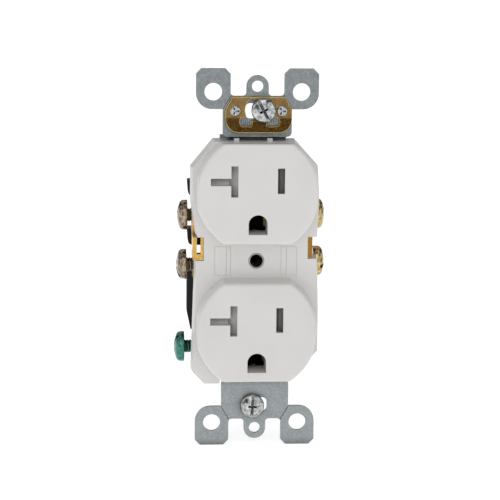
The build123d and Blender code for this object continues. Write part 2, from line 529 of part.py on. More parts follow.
def make_ground_contact(centre_z):
    """A plate riveted behind the strap, with two leaves that grip the ground pin."""
    front = RECESS_Y + STRAP_T
    pin_z = centre_z + PIN_DZ
    plate = slab(rect(-4.2, 4.2, pin_z - 6.0, pin_z + 6.0), front, front + 0.8)
    plate -= slab(pin_profile(centre_z, 0.45), front - 1, front + 2)
    for side in (-1, 1):
        x0, x1 = PIN_LEAF_X
        plate += block(side * x0, side * (x1 + 0.35), front, front + 1.6, pin_z - 2.2, pin_z + 2.2)
        plate += block(side * x0, side * x1, front + 1.4, 12.5, pin_z - 2.2, pin_z + 2.2)
        plate -= block(0, side * (x1 + 0.07), front - 1, front + 0.9, pin_z - 2.3, pin_z + 2.3)
    for rivet_z in rivet_heights(centre_z):
        plate -= rod_y(0, rivet_z, GROUND_RIVET_R, front - 1, front + 2)
    return plate


def make_ground_rivets():
    rivets = []
    for centre_z in FACE_CENTRES.values():
        for rivet_z in rivet_heights(centre_z):
            rivets.append(rivet(0, rivet_z, GROUND_RIVET_R, GROUND_RIVET_HEAD_R, RECESS_Y,
                                RECESS_Y + STRAP_T + 0.8, 0.5))
    return Compound(children=rivets)


# ---------------------------------------------------------------- rear body
def body_profile(inset=0.0):
    """Octagon with a waist where the terminals sit."""
    (cx, cz), (side, sz) = BODY_CHAMFER
    side, cut = side - inset, inset * 0.45
    points = [(cx - cut, cz - inset), (side, sz - cut), (side, -sz + cut), (cx - cut, -cz + inset)]
    outline = polygon(points + [(-x, z) for x, z in reversed(points)])
    waist = WAIST_HALF_W - inset
    for direction in (-1, 1):
        outline -= rect(direction * waist, direction * 30, WAIST_Z[0] - inset, WAIST_Z[1] + inset)
    return outline


def make_base():
    front_y, lip_y = SKIRT_Y + 0.1, RECESS_Y + STRAP_T + 0.15
    base = slab(body_profile(), front_y, BODY_BACK_Y)
    back_edges = base.faces().sort_by(Axis.Y)[-1].edges()
    base = chamfer(back_edges, 0.7)
    base += slab(body_profile() & cover_profile(COVER_WALL + 0.15), lip_y, front_y + 0.1)
    base -= slab(body_profile(BODY_WALL), lip_y - 1, BODY_BACK_Y - BACK_WALL)
    for end in (-1, 1):
        base += block(-NECK_HALF_W, NECK_HALF_W, lip_y, front_y + 0.5, end * 31.6, end * 33.1)
    # room for the lower end of the ground contact and its rivet
    base -= block(-4.4, 4.4, lip_y - 1, 5.75, -34.1, -30)
    # inner walls round the ground contacts, and a rib between the two outlets
    for side in (-1, 1):
        base += block(side * 3.55, side * 4.35, 5.7, BODY_BACK_Y - 1, -31.8, 31.8)
        base += block(side * 4.0, side * 13.2, 5.7, BODY_BACK_Y - 1, 2.4, 3.6)
        for z in (12.0, 21.0, -4.5, -15.0):
            base += block(side * 8.6, side * 11.4, BUS_Y[1] + 0.05, BODY_BACK_Y - 1, z - 0.7, z + 0.7)
    # barrier fins that keep the wires of neighbouring terminals apart
    for side, out_x in FIN_OUT_X.items():
        for z0, z1 in FIN_Z:
            lean = FIN_LEAN if side < 0 and z0 > 0 else 0.0
            fin = slab(polygon([(side * (WAIST_HALF_W - 1.0), z0), (out_x - side * lean, z0), (out_x, z1),
                                (side * (WAIST_HALF_W - 1.0), z1)]), *FIN_Y)
            low = fin.edges().filter_by(Axis.Y).sort_by(Axis.Z)[:2].sort_by(Axis.X)
            fin = fillet(low[0] if side < 0 else low[-1], FIN_FOOT_R)
            high = fin.edges().filter_by(Axis.Y).sort_by(Axis.Z)[-2:].sort_by(Axis.X)
            base += chamfer(high[0] if side < 0 else high[-1], FIN_TOP_C)
    taper_x, taper_z = FIN_TAPER
    out_x, low_z = FIN_OUT_X[-1], FIN_Z[-1][0]
    corner = polygon([(out_x - 1, low_z - 1), (out_x + taper_x, low_z - 1), (out_x + taper_x, low_z),
                      (out_x, low_z + taper_z), (out_x - 1, low_z + taper_z)])
    base -= slab(corner, FIN_Y[0] - 1, FIN_Y[1] + 1)
    # a small tab at the foot closes the cut in the cover
    base += block(*FOOT_TAB_X, *FOOT_TAB_Y, *FOOT_TAB_Z)
    base -= block(-12.9, 12.9, lip_y - 1, 5.6, -31.5, 31.5) & slab(body_profile(BODY_WALL), 0, 6)
    # slots through the side walls for the buses and the ends of the terminal screws
    for side in (-1, 1):
        for z0, z1 in ((6.9, 15.0), (-7.5, -0.3)):
            base -= block(side * 11.0, side * 20, lip_y - 1, BUS_Y[1] + 0.05, z0, z1)
    base -= rod_x(TERMINAL_Y, GROUND_TERMINAL_Z, 2.4, -20, -9.8)
    # hollow columns for the assembly screws
    for side in (-1, 1):
        for end in (-1, 1):
            base += rod_y(side * BOSS_X, end * BOSS_Z, BOSS_R, SKIRT_Y + 0.6, BODY_BACK_Y - 1)
            base -= rod_y(side * BOSS_X, end * BOSS_Z, ASSEMBLY_R + 0.15, lip_y - 1, BODY_BACK_Y + 1)
            base -= rod_y(side * BOSS_X, end * BOSS_Z, ASSEMBLY_HEAD_R + 0.2, BODY_BACK_Y - 1.8,
                          BODY_BACK_Y + 1)
            base -= rod_y(side * BOSS_X, end * BOSS_Z, BOSS_R + 0.1, lip_y - 1, SKIRT_Y + 0.6)
    # shallow moulded recesses in the back
    for z in (-14.0, 14.0):
        base -= block(-9.5, 9.5, BODY_BACK_Y - 0.5, BODY_BACK_Y + 1, z - 6.5, z + 6.5)
    return base


# ---------------------------------------------------------------- shutters
def ramp(x_low, x_high, z0, z1):
    """Wedge removed from a shutter so that a blade pushes it to the right."""
    y_front, y_back = SHUTTER_Y
    wedge = polygon([(x_low - 0.01, y_front - 0.1), (x_high, y_front - 0.1), (x_high, y_front),
                     (x_low - 0.01, y_back - 0.3)])
    return extrude(Plane.XY.offset(z0) * wedge, amount=z1 - z0)


def make_shutter(centre_z):
    """Slides right; its two pads close the upright neutral slot and the hot slot."""
    mid = centre_z + SLOT_DZ
    y_front, y_back = SHUTTER_Y
    tall, low = SHUTTER_HALF_H
    left, right = SHUTTER_X
    pad_left, pad_right = HOT_PAD_X
    plate = block(left, -4.5, y_front, y_back, mid - tall, mid + tall)
    plate += block(-4.6, right, y_front, y_back, mid - low, mid + low)
    plate -= block(2.95, pad_left, y_front - 1, y_back + 1, mid - HOT_PAD_HALF_H, mid + HOT_PAD_HALF_H)
    plate -= block(-3.6, 2.0, y_front - 1, y_back + 1, mid - 2.4, mid + 2.4)
    plate -= ramp(left, -5.4, mid - tall - 1, mid + tall + 1)
    plate -= block(pad_left - 0.1, pad_right, y_front - 1, y_front + HOT_PAD_SINK,
                   mid - 3.7, mid + low + 1)
    plate -= ramp(pad_left, pad_right, mid - HOT_PAD_HALF_H, mid + HOT_PAD_HALF_H)
    plate += rod_x(-4.25, mid, 0.5, 7.9, 9.4)
    return plate


def make_arm_shutter(centre_z):
    """Slides down; closes the horizontal arm of the neutral T slot."""
    mid = centre_z + SLOT_DZ - ARM_DROP
    y_front, y_back = SHUTTER_Y
    pad = block(-13.2, -7.93, y_front, y_back, mid - 1.35, mid + 1.35)
    wedge = polygon([(y_front - 0.1, mid - 0.6), (y_front, mid - 0.6), (y_back - 0.3, mid + 1.36),
                     (y_front - 0.1, mid + 1.36)])
    pad -= extrude(Plane.YZ.offset(-14) * wedge, amount=7)
    stem = Plane((-10.5, -4.25, mid - 2.4)) * Cylinder(0.5, 1.2, align=BASE_ALIGN)
    return pad + stem


def coil(start, direction, length, turns):
    """A small compression spring from a start point along a direction."""
    pitch = length / turns
    path = Helix(pitch=pitch, height=length, radius=0.78)
    wire = Plane(path @ 0, z_dir=path % 0) * Circle(0.13)
    spring = sweep(wire, path=path, is_frenet=True)
    return Plane(start, z_dir=direction) * spring


def make_shutter_spring(centre_z):
    return coil((8.15, -4.25, centre_z + SLOT_DZ), (1, 0, 0), 4.3, 5)


def make_arm_spring(centre_z):
    top = centre_z + SLOT_DZ - ARM_DROP - 1.5
    foot = centre_z + CARRIER_DZ[0] + CARRIER_WALL + 0.15
    return coil((-10.5, -4.25, foot), (0, 0, 1), top - foot, 3)


def make_carrier(centre_z):
    """Tray behind the face that guides the shutters and backs their springs."""
    z0, z1 = centre_z + CARRIER_DZ[0], centre_z + CARRIER_DZ[1]
    outline = face_profile(centre_z, COVER_WALL + 0.65) & rect(-20, 20, z0, z1)
    tray = slab(outline, SHUTTER_Y[0] - 0.2, CARRIER_Y[1])
    inner = face_profile(centre_z, COVER_WALL + 0.65 + CARRIER_WALL)
    inner &= rect(-20, 12.7, z0 + CARRIER_WALL, z1 - CARRIER_WALL)
    tray -= slab(inner, SHUTTER_Y[0] - 1, CARRIER_Y[0])
    tray -= slab(slot_profiles(centre_z, 0.25), CARRIER_Y[0] - 1, CARRIER_Y[1] + 1)
    for side in (-1, 1):
        for end in (-1, 1):
            tray -= rod_y(side * BOSS_X, end * BOSS_Z, BOSS_R + 0.15, SHUTTER_Y[0] - 1, 0)
    return tray


# ---------------------------------------------------------------- write every node
def build_nodes():
    nodes = {
        "cover": make_cover(),
        "base": make_base(),
        "yoke": make_yoke(),
        "self_grounding_clip": make_clip(),
        "clip_rivets": make_clip_rivets(),
        "center_eyelet": make_eyelet(),
        "assembly_screws": make_assembly_screws(),
        "hot_contact_strip": contact_side(1),
        "neutral_contact_strip": contact_side(-1),
        "ground_contact_rivets": make_ground_rivets(),
        "ground_screw": make_terminal_screw(-1, TERMINAL_Y, GROUND_TERMINAL_Z, LUG_X, GROUND_HEAD_GAP),
    }
    for end, centre_z in FACE_CENTRES.items():
        for side, name in ((-1, "neutral"), (1, "hot")):
            nodes[f"{end}_{name}_screw"] = make_terminal_screw(
                side, TERMINAL_Y, TERMINAL_Z[side][end], plate_face(side, end), HEAD_GAP[side][end])
        nodes[f"{end}_mounting_screw"] = make_box_screw(end)
        nodes[f"{end}_screw_retainer"] = make_retainer(end)
        nodes[f"{end}_ground_contact"] = make_ground_contact(centre_z)
        nodes[f"{end}_shutter_carrier"] = make_carrier(centre_z)
        nodes[f"{end}_shutter"] = make_shutter(centre_z)
        nodes[f"{end}_arm_shutter"] = make_arm_shutter(centre_z)
        nodes[f"{end}_shutter_spring"] = make_shutter_spring(centre_z)
        nodes[f"{end}_arm_shutter_spring"] = make_arm_spring(centre_z)
    return nodes


os.makedirs("parts", exist_ok=True)
for name, shape in build_nodes().items():
    export_step(shape, f"parts/{name}.step")
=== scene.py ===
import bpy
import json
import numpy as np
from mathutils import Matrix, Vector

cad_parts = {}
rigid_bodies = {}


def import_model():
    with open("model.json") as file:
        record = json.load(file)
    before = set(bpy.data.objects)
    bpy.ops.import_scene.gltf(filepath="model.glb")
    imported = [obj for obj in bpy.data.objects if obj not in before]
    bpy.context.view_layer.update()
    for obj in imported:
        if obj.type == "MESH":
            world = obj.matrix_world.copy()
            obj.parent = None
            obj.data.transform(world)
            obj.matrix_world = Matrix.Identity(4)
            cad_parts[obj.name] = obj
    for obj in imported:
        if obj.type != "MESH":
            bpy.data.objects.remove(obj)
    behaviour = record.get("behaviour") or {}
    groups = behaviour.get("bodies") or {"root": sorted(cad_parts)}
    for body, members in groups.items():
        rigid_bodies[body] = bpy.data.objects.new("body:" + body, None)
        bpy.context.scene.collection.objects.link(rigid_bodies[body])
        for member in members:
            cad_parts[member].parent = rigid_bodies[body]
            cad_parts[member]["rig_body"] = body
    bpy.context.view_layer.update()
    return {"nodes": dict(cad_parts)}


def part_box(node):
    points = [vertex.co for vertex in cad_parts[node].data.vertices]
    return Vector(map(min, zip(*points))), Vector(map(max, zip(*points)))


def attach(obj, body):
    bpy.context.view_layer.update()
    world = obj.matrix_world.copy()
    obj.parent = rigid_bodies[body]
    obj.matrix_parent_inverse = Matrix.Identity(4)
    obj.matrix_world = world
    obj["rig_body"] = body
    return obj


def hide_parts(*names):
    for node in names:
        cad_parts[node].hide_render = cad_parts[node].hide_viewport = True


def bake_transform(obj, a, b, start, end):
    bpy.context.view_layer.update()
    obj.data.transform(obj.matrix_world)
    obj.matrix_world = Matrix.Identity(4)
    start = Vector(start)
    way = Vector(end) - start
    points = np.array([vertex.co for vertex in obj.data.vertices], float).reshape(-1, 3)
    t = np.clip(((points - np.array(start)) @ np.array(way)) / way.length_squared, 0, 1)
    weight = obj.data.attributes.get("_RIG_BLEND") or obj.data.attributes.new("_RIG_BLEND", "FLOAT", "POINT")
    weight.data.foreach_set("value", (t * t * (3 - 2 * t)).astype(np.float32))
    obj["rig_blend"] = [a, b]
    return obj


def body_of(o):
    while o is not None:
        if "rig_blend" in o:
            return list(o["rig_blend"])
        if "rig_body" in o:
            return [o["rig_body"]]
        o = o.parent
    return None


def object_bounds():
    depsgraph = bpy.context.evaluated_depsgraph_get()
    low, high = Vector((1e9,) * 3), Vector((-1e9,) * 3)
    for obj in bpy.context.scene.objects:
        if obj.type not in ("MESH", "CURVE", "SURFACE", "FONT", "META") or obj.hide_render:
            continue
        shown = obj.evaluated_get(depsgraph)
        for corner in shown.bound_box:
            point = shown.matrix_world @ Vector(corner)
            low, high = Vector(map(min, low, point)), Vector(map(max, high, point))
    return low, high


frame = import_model()

import json
import math

import bmesh
import bpy
from mathutils import Matrix, Vector

MM = 0.001
FULL_TURN = 2 * math.pi
TO_ROOM, TO_RIGHT = (0, -1, 0), (1, 0, 0)
LEFT, RIGHT = -1, 1                     # the neutral and ground side, the hot side
ENDS = ("upper", "lower")
NODES = frame["nodes"]

# screws: heights and radii in metres, slot angles in degrees
THREAD_PITCH = 0.79 * MM
TERMINAL_HEAD_H = {LEFT: 2.9 * MM, RIGHT: 3.35 * MM}
TERMINAL_SHANK_R, TERMINAL_THREAD_DEPTH = 1.9 * MM, 0.30 * MM
BOX_HEAD_H = 2.1 * MM
BOX_SHANK_R, BOX_THREAD_DEPTH = 1.75 * MM, 0.28 * MM
BOX_NECK_R = 1.43 * MM
BOX_NECK_END = 2.6 * MM                 # from the front of the strap to the start of the thread
UNDERCUT = 0.2 * MM                     # how far a shank reaches up into its head
SLOT_TURN = {
    "upper_neutral_screw": 58, "lower_neutral_screw": -50, "ground_screw": 60,
    "upper_hot_screw": 35, "lower_hot_screw": -15,
    "upper_mounting_screw": -62, "lower_mounting_screw": 86}

# rivets and eyelet, with distances back from the front of the strap
STRAP_BACK = 1.0 * MM
RIVET_HEAD_H, RIVET_SHANK_R = 0.5 * MM, 0.9 * MM
EYELET_OUTER, EYELET_BORE = 2.2 * MM, 1.45 * MM
EYELET_FLANGE_FRONT, EYELET_FLANGE_T = 4.0 * MM, 0.8 * MM


# ---------------------------------------------------------------- material helpers
class Shader:
    """A principled material and short calls that add the nodes feeding it."""

    def __init__(self, name, **constants):
        self.material = bpy.data.materials.new(name)
        self.material.use_nodes = True
        self.tree = self.material.node_tree
        self.bsdf = self.tree.nodes["Principled BSDF"]
        for socket, value in constants.items():
            self.bsdf.inputs[socket.replace("_", " ")].default_value = value

    def feed(self, node, inputs):
        """Link or set each input, by name or by number."""
        for name, value in inputs.items():
            if isinstance(value, bpy.types.NodeSocket):
                self.tree.links.new(value, node.inputs[name])
            else:
                node.inputs[name].default_value = value

    def add(self, kind, inputs=None, **settings):
        node = self.tree.nodes.new(kind)
        for name, value in settings.items():
            setattr(node, name, value)
        self.feed(node, inputs or {})
        return node

    def place(self, stretch=(1, 1, 1)):
        """Position on the piece in metres, stretched along its axes."""
        where = self.add("ShaderNodeTexCoord").outputs["Object"]
        mapping = self.add("ShaderNodeMapping", {"Vector": where, "Scale": stretch})
        return mapping.outputs["Vector"]

    def noise(self, grain_mm, detail, stretch=(1, 1, 1)):
        node = self.add("ShaderNodeTexNoise", {
            "Vector": self.place(stretch), "Scale": 1 / (grain_mm * MM), "Detail": detail})
        return node.outputs["Fac"]

    def cells(self, size_mm):
        """One random value for each cell of a crystal pattern."""
        node = self.add("ShaderNodeTexVoronoi", {
            "Vector": self.place(), "Scale": 1 / (size_mm * MM)})
        split = self.add("ShaderNodeSeparateColor", {"Color": node.outputs["Color"]})
        return split.outputs["Red"]

    def spread(self, value, low, high, start=0.0, stop=1.0):
        """Map a value that runs from start to stop onto low to high."""
        node = self.add("ShaderNodeMapRange", {
            "Value": value, "From Min": start, "From Max": stop, "To Min": low, "To Max": high})
        return node.outputs["Result"]

    def between(self, value, low, high, start=0.3, stop=0.7):
        """A colour that runs from low to high as the value runs from start to stop."""
        node = self.add("ShaderNodeValToRGB", {"Fac": value})
        for point, position, colour in zip(
                node.color_ramp.elements, (start, stop), (low, high)):
            point.position = position
            point.color = (*colour, 1)
        return node.outputs["Color"]

    def mix(self, factor, first, second):
        """The first colour at factor 0, the second at 1."""
        node = self.add("ShaderNodeMix", data_type="RGBA")
        opaque = [value if isinstance(value, bpy.types.NodeSocket) else (*value, 1)
                  for value in (first, second)]
        self.feed(node, {0: factor, 6: opaque[0], 7: opaque[1]})
        return node.outputs[2]

    def math(self, operation, first, second):
        node = self.add("ShaderNodeMath", {0: first, 1: second}, operation=operation)
        return node.outputs[0]

    def edges(self, radius_mm, sharpness):
        """1 along worn edges and 0 on open surfaces, broken up by a fine noise."""
        bevel = self.add("ShaderNodeBevel", {"Radius": radius_mm * MM}, samples=6)
        true = self.add("ShaderNodeNewGeometry").outputs["Normal"]
        dot = self.add("ShaderNodeVectorMath", {0: bevel.outputs["Normal"], 1: true},
                       operation="DOT_PRODUCT")
        bend = self.math("SUBTRACT", 1.0, dot.outputs["Value"])
        worn = self.math("MULTIPLY", bend, sharpness)
        return self.math("MULTIPLY", worn, self.spread(self.noise(0.5, 5), 0.5, 1.4, 0.35, 0.65))

    def openness(self, reach_mm, own=True):
        """1 in the open, falling to 0 inside recesses and under overhangs."""
        node = self.add("ShaderNodeAmbientOcclusion", {"Distance": reach_mm * MM},
                        samples=6, only_local=own)
        return node.outputs["AO"]

    def depth(self, axis, start_mm, stop_mm):
        """0 at one place along an axis, 1 at another, smooth between them."""
        where = self.add("ShaderNodeTexCoord").outputs["Object"]
        part = self.add("ShaderNodeSeparateXYZ", {"Vector": where}).outputs[axis]
        node = self.add("ShaderNodeMapRange", {
            "Value": part, "From Min": start_mm * MM, "From Max": stop_mm * MM},
            interpolation_type="SMOOTHSTEP")
        return node.outputs["Result"]

    def bump(self, height, depth_mm, strength, under=None):
        """A relief, on top of another one if that is given."""
        inputs = {"Height": height, "Distance": depth_mm * MM, "Strength": strength}
        if under is not None:
            inputs["Normal"] = under
        return self.add("ShaderNodeBump", inputs).outputs["Normal"]

    def finish(self, colour, roughness, normal=None):
        self.feed(self.bsdf, {"Base Color": colour, "Roughness": roughness})
        if normal is not None:
            self.feed(self.bsdf, {"Normal": normal})
        return self.material


def shaded(colour, *factors):
    """A colour times one factor, or times a factor for each channel."""
    if len(factors) == 1:
        factors *= 3
    return tuple(min(1, c * f) for c, f in zip(colour, factors))


# ---------------------------------------------------------------- materials
def moulded_white():
    """Satin thermoplastic: spark-eroded grain, a faint warm and cool drift, polished edges."""
    s = Shader("cover_plastic", Specular_IOR_Level=0.42, Subsurface_Weight=0.06,
               Subsurface_Scale=0.4 * MM, Subsurface_Radius=(1.0, 0.85, 0.7))
    drift = s.between(s.noise(9, 2), (0.634, 0.620, 0.604), (0.650, 0.641, 0.631))
    colour = s.mix(s.edges(0.35, 1.5), drift, (0.68, 0.67, 0.66))
    rough = s.spread(s.noise(0.6, 4), 0.40, 0.52, 0.3, 0.7)
    grain = s.bump(s.noise(0.09, 3), 0.010, 0.35)
    flow = s.bump(s.noise(3.0, 2, (1, 1, 0.4)), 0.02, 0.25, grain)
    return s.finish(colour, rough, flow)


def moulded_black():
    """Glass-filled black thermoplastic with scuffed edges."""
    s = Shader("body_plastic", Specular_IOR_Level=0.32)
    drift = s.between(s.noise(2.2, 4), (0.006, 0.006, 0.007), (0.012, 0.012, 0.013))
    colour = s.mix(s.edges(0.3, 2.5), drift, (0.045, 0.045, 0.05))
    rough = s.spread(s.noise(0.8, 5), 0.34, 0.55, 0.3, 0.7)
    grain = s.bump(s.noise(0.13, 3), 0.02, 0.5)
    flow = s.bump(s.noise(4.0, 2, (0.5, 1, 1)), 0.05, 0.3, grain)
    return s.finish(colour, rough, flow)


def moulded_grey(name, low, high, painted_shade_factor=1.0):
    """Self-coloured acetal, with painted shade that darkens it towards the pad that closes the hot slot."""
    hot_pad_mm = (4.4, 5.0)
    s = Shader(name, Specular_IOR_Level=0.4)
    skin = s.between(s.noise(1.5, 4), low, high)
    # painted shade: the colour darkens towards the pad that closes the hot slot, where shade falls deep in
    # the slot
    skin = s.mix(s.depth("X", *hot_pad_mm), skin, shaded(low, painted_shade_factor))
    colour = s.mix(s.edges(0.2, 2.0), skin, shaded(high, 1.3 * painted_shade_factor))
    rough = s.spread(s.noise(0.4, 4), 0.35, 0.5, 0.3, 0.7)
    return s.finish(colour, rough, s.bump(s.noise(0.1, 3), 0.01, 0.4))


def galvanised():
    """Hot-dip zinc: dull spangles, drawing lines along the strip, painted shade in corners and painted
    shadow under other parts, a lower end painted paler, bright edges.
    """
    s = Shader("yoke_zinc_coat", Metallic=1.0, Specular_IOR_Level=0.5)
    spangle = s.between(s.cells(0.42), (0.155, 0.173, 0.178), (0.315, 0.342, 0.351), 0.0, 1.0)
    cloud = s.between(s.noise(2.4, 5), (0.200, 0.223, 0.229), (0.284, 0.308, 0.316))
    skin = s.mix(0.6, spangle, cloud)
    streak = s.noise(0.25, 4, (1, 1, 0.08))
    skin = s.mix(s.spread(streak, 0.0, 0.35, 0.5, 0.75), skin, (0.18, 0.205, 0.21))
    # painted light: the lower end is painted a little paler than the upper one
    skin = s.mix(s.spread(s.depth("Z", 30.0, -30.0), 0.0, 0.13), skin, (0.75, 0.78, 0.79))
    # painted shade: darker in the strap's own corners and bends
    painted_corner_shade = s.spread(s.openness(0.6), 0.0, 1.0, 0.35, 0.9)
    skin = s.mix(painted_corner_shade, (0.035, 0.04, 0.042), skin)
    # painted shadow: darker where the clip, the cover and other parts lie over the strap
    painted_shadow_under_parts = s.spread(s.openness(2.2, own=False), 0.0, 1.0, 0.15, 0.95)
    skin = s.mix(painted_shadow_under_parts, (0.07, 0.078, 0.08), skin)
    colour = s.mix(s.edges(0.22, 3.0), skin, (0.62, 0.65, 0.66))
    rough = s.spread(s.cells(0.55), 0.42, 0.56)
    normal = s.bump(s.noise(0.16, 4), 0.02, 0.5)
    normal = s.bump(streak, 0.015, 0.4, normal)
    return s.finish(colour, rough, normal)


def clip_brass():
    """Thin rolled brass, tarnished brown, with painted shade that darkens it below the bend, and bright cut
    edges.
    """
    bend_mm = (39.95, 39.5)
    s = Shader("clip_brass_skin", Metallic=1.0)
    # painted shade: below the bend the brass is painted much darker than above it
    bright = s.between(s.noise(1.6, 5), (0.150, 0.094, 0.036), (0.236, 0.150, 0.057))
    dark = s.between(s.noise(1.1, 5), (0.037, 0.018, 0.003), (0.066, 0.034, 0.0065))
    skin = s.mix(s.depth("Z", *bend_mm), bright, dark)
    roll = s.noise(0.16, 3, (0.05, 1, 1))
    skin = s.mix(s.spread(roll, 0.0, 0.3, 0.5, 0.8), skin, (0.16, 0.09, 0.03))
    flecks = s.spread(s.noise(0.22, 4), 0.0, 0.35, 0.55, 0.68)
    skin = s.mix(flecks, skin, (0.46, 0.31, 0.11))
    colour = s.mix(s.edges(0.3, 14.0), skin, (0.95, 0.68, 0.25))
    rough = s.spread(s.noise(0.5, 5), 0.26, 0.42, 0.3, 0.7)
    normal = s.bump(roll, 0.012, 0.4, s.bump(s.noise(0.2, 4), 0.012, 0.4))
    return s.finish(colour, rough, normal)


def sheet_brass(name, low, high):
    """Bright stamped strip, with painted shade that makes it darker and browner towards the hot side and
    dark in its folds.
    """
    hot_side_mm = (6.0, 12.0)
    s = Shader(name, Metallic=1.0)
    skin = s.between(s.noise(1.1, 5), low, high)
    # painted shade: darker and browner towards the hot side
    skin = s.mix(s.depth("X", *hot_side_mm), skin, shaded(low, 0.62, 0.55, 0.5))
    # painted shade: dark in the strip's folds
    painted_fold_shade = s.spread(s.openness(1.5), 0.0, 1.0, 0.3, 0.9)
    skin = s.mix(painted_fold_shade, shaded(low, 0.15), skin)
    colour = s.mix(s.edges(0.15, 3.5), skin, (0.98, 0.78, 0.38))
    rough = s.spread(s.noise(0.6, 5), 0.20, 0.36, 0.3, 0.7)
    return s.finish(colour, rough, s.bump(s.noise(0.14, 3, (1, 1, 0.06)), 0.01, 0.4))


def plated(name, low, high, edge, smooth=(0.16, 0.34)):
    """Plated screw metal: cloudy plating, dark pits, painted shade in recesses, bright edges."""
    s = Shader(name, Metallic=1.0)
    skin = s.between(s.noise(0.9, 5), low, high, 0.32, 0.68)
    pits = s.spread(s.noise(0.25, 4), 0.0, 0.7, 0.56, 0.72)
    skin = s.mix(pits, skin, shaded(low, 0.35))
    # painted shade: dark inside slots, crosses and other recesses
    painted_recess_shade = s.spread(s.openness(1.3), 0.0, 1.0, 0.5, 0.95)
    skin = s.mix(painted_recess_shade, shaded(low, 0.06), skin)
    colour = s.mix(s.edges(0.16, 3.5), skin, edge)
    rough = s.spread(s.noise(0.35, 5), *smooth, 0.3, 0.7)
    return s.finish(colour, rough, s.bump(s.noise(0.18, 4), 0.015, 0.5))


def fibre():
    """Pressed fibre board of the screw retainers."""
    s = Shader("retainer_board", Specular_IOR_Level=0.2)
    colour = s.between(s.noise(0.3, 5, (1, 1, 0.3)), (0.045, 0.03, 0.022), (0.11, 0.075, 0.055))
    rough = s.spread(s.noise(0.2, 4), 0.75, 0.95, 0.3, 0.7)
    return s.finish(colour, rough, s.bump(s.noise(0.2, 5), 0.05, 0.6))


MATERIALS = {
    "cover_white": moulded_white(),
    "base_black": moulded_black(),
    "carrier_grey": moulded_grey("carrier_plastic", (0.10, 0.10, 0.105), (0.14, 0.14, 0.145)),
    # the shutter's last number sets its painted shade towards the pad of the hot slot
    "shutter_grey": moulded_grey("shutter_plastic", (0.43, 0.42, 0.42), (0.51, 0.50, 0.49), 0.38),
    "yoke_zinc": galvanised(),
    "clip_brass": clip_brass(),
    "contact_brass": sheet_brass("contact_brass_skin", (0.44, 0.26, 0.06), (0.64, 0.42, 0.12)),
    "ground_contact_steel": sheet_brass(
        "ground_contact_skin", (0.52, 0.35, 0.12), (0.66, 0.47, 0.18)),
    "screw_steel": plated(
        "bright_zinc", (0.19, 0.20, 0.20), (0.60, 0.61, 0.61), (0.96, 0.96, 0.96), (0.06, 0.15)),
    "rivet_steel": plated(
        "rivet_zinc", (0.30, 0.31, 0.31), (0.50, 0.51, 0.51), (0.85, 0.85, 0.85)),
    "eyelet_steel": plated(
        "eyelet_zinc", (0.30, 0.31, 0.31), (0.46, 0.47, 0.47), (0.85, 0.85, 0.84)),
    "spring_steel": plated(
        "spring_wire", (0.42, 0.42, 0.43), (0.6, 0.6, 0.61), (0.8, 0.8, 0.8)),
    "neutral_screw_nickel": plated(
        "warm_nickel", (0.115, 0.085, 0.062), (0.45, 0.37, 0.28), (0.84, 0.76, 0.62), (0.08, 0.18)),
    "hot_screw_brass": plated(
        "screw_brass", (0.28, 0.19, 0.075), (0.66, 0.53, 0.28), (0.97, 0.85, 0.52), (0.08, 0.17)),
    "ground_screw_green": plated(
        "green_zinc", (0.045, 0.15, 0.12), (0.08, 0.26, 0.21), (0.42, 0.68, 0.58), (0.2, 0.36)),
    "retainer_fibre": fibre(),
}


# ---------------------------------------------------------------- mesh helpers
def new_object(name, data):
    obj = bpy.data.objects.new(name, data)
    bpy.context.scene.collection.objects.link(obj)
    return obj


def mesh_of(name, bm):
    """The bmesh as a mesh; the bmesh goes."""
    mesh = bpy.data.meshes.new(name)
    bm.to_mesh(mesh)
    bm.free()
    return mesh


def mesh_from(name, build, *args):
    """A mesh filled by a function that draws into a bmesh."""
    bm = bmesh.new()
    build(bm, *args)
    bmesh.ops.recalc_face_normals(bm, faces=bm.faces)
    return mesh_of(name, bm)


def take(name, obj):
    """Apply an object's modifiers and hand back the result as a new mesh; the object goes."""
    seen = obj.evaluated_get(bpy.context.evaluated_depsgraph_get())
    mesh = bpy.data.meshes.new_from_object(seen)
    mesh.name = name
    bpy.data.objects.remove(obj)
    return mesh


def shade(mesh, sharp_deg=None):
    """Smooth shading, broken at edges sharper than an angle if that is given."""
    for polygon in mesh.polygons:
        polygon.use_smooth = True
    if sharp_deg is not None:
        mesh.set_sharp_from_angle(angle=math.radians(sharp_deg))


def round_edges(obj, width_mm, segments, angle_deg):
    """Give an object's sharp edges a real radius and clean shading."""
    bevel = obj.modifiers.new("radius", "BEVEL")
    bevel.width = width_mm * MM
    bevel.segments = segments
    bevel.limit_method = "ANGLE"
    bevel.angle_limit = math.radians(angle_deg)
    bevel.miter_outer = "MITER_ARC"
    bevel.harden_normals = True
    bevel.use_clamp_overlap = True
    shade(obj.data)


def dress(obj, node, slot):
    """Put a finished piece in place of its CAD node, on the same body and with its finish."""
    obj.data.materials.clear()
    obj.data.materials.append(MATERIALS[slot])
    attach(obj, body_of(NODES[node])[0])
    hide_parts(node)


def clean_copy(node, merge):
    """The CAD node's shape, welded, without the CAD normals, and in whole flat faces if merged."""
    weld, flat = 0.0005 * MM, math.radians(0.6)
    bm = bmesh.new()
    bm.from_mesh(NODES[node].data)
    bmesh.ops.remove_doubles(bm, verts=bm.verts, dist=weld)
    if merge:
        bmesh.ops.dissolve_limit(bm, angle_limit=flat, verts=bm.verts, edges=bm.edges)
    mesh = mesh_of(node + "_shape", bm)
    if "custom_normal" in mesh.attributes:
        mesh.attributes.remove(mesh.attributes["custom_normal"])
    return mesh


def refined(node, slot, width_mm, segments, angle_deg, merge=True):
    """A CAD shape kept exactly, with its sharp edges broken."""
    obj = new_object(node + "_piece", clean_copy(node, merge))
    round_edges(obj, width_mm, segments, angle_deg)
    dress(obj, node, slot)


